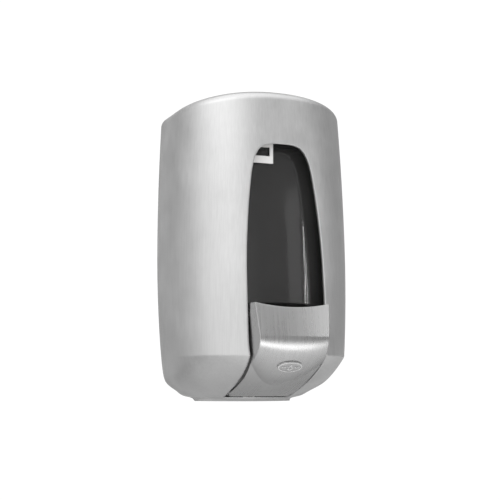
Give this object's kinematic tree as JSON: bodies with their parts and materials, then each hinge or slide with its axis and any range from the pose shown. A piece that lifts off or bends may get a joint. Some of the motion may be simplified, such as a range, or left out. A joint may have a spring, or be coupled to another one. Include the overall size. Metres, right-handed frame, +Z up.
{
  "type": "wall mounted soap dispenser",
  "caption": "Wall-mounted liquid soap dispenser: hinged metallic cover with a window, smoked reservoir, pivoting push button and piston pump.",
  "frame": {"origin": "middle of the four wall screws, on the wall plane", "axes": "+X to the right as the user faces it, -Y towards the user, +Y into the wall, +Z up"},
  "size_m": [0.1322, 0.1128, 0.2262],
  "materials": {
    "metallic_cover": "satin",
    "metallic_button": "satin",
    "badge": "satin",
    "black_plastic": "matte",
    "galvanised": "satin",
    "steel_screw": "polished",
    "smoked_plastic": "gloss",
    "dark_plastic": "satin",
    "white_plastic": "satin",
    "steel_pin": "polished",
    "pump_plastic": "satin",
    "seal_rubber": "matte",
    "valve_rubber": "matte",
    "spring_steel": "polished",
    "steel_ball": "polished",
    "lock_metal": "satin"
  },
  "bodies": {
    "base": {"back_plate": "black_plastic", "reservoir": "smoked_plastic", "lid_pin": "steel_pin", "outlet_gasket": "seal_rubber", "pump_body": "pump_plastic", "barrel_cap": "pump_plastic", "pump_bracket": "galvanised", "bracket_screws": "steel_screw", "inlet_ball": "steel_ball", "ball_retainer": "pump_plastic", "outlet_valve": "valve_rubber", "nozzle": "pump_plastic", "hinge_pins": "steel_pin", "return_spring": "spring_steel"},
    "cover": {"cover": "metallic_cover", "button_pins": "steel_pin", "lock_barrel": "lock_metal", "lock_nut": "steel_screw"},
    "button": {"push_button": "metallic_button", "button_badge": "badge"},
    "plunger": {"plunger": "white_plastic", "plunger_seal": "seal_rubber"},
    "lid": {"reservoir_lid": "dark_plastic", "lid_pull": "white_plastic"},
    "lock": {"lock_plug": "lock_metal", "lock_cam": "galvanised", "cam_screw": "steel_screw"}
  },
  "joints": [
    {"name": "cover_hinge", "type": "hinge", "parent": "base", "child": "cover", "pos_m": [0, -0.0065, -0.1185], "axis": [1, 0, 0], "range_deg": [0, 75]},
    {"name": "button_press", "type": "hinge", "parent": "cover", "child": "button", "pos_m": [0, -0.091, -0.064], "axis": [1, 0, 0], "range_deg": [0, 10], "stiffness_Nm_per_rad": 1.4, "springref_deg": -11.46},
    {"name": "plunger_slide", "type": "slide", "parent": "base", "child": "plunger", "axis": [0, 1, 0], "range_m": [0, 0.0058], "deforming": ["return_spring"]},
    {"name": "lid_flip", "type": "hinge", "parent": "base", "child": "lid", "pos_m": [0, -0.048, 0.062], "axis": [-1, 0, 0], "range_deg": [0, 90]},
    {"name": "lock_turn", "type": "hinge", "parent": "cover", "child": "lock", "pos_m": [0, -0.018, 0.09], "axis": [0, 0, -1], "range_deg": [0, 90]}
  ],
  "couplings": [
    {"joint": "plunger_slide", "follows": "button_press", "m_per_rad": 0.03175}
  ]
}
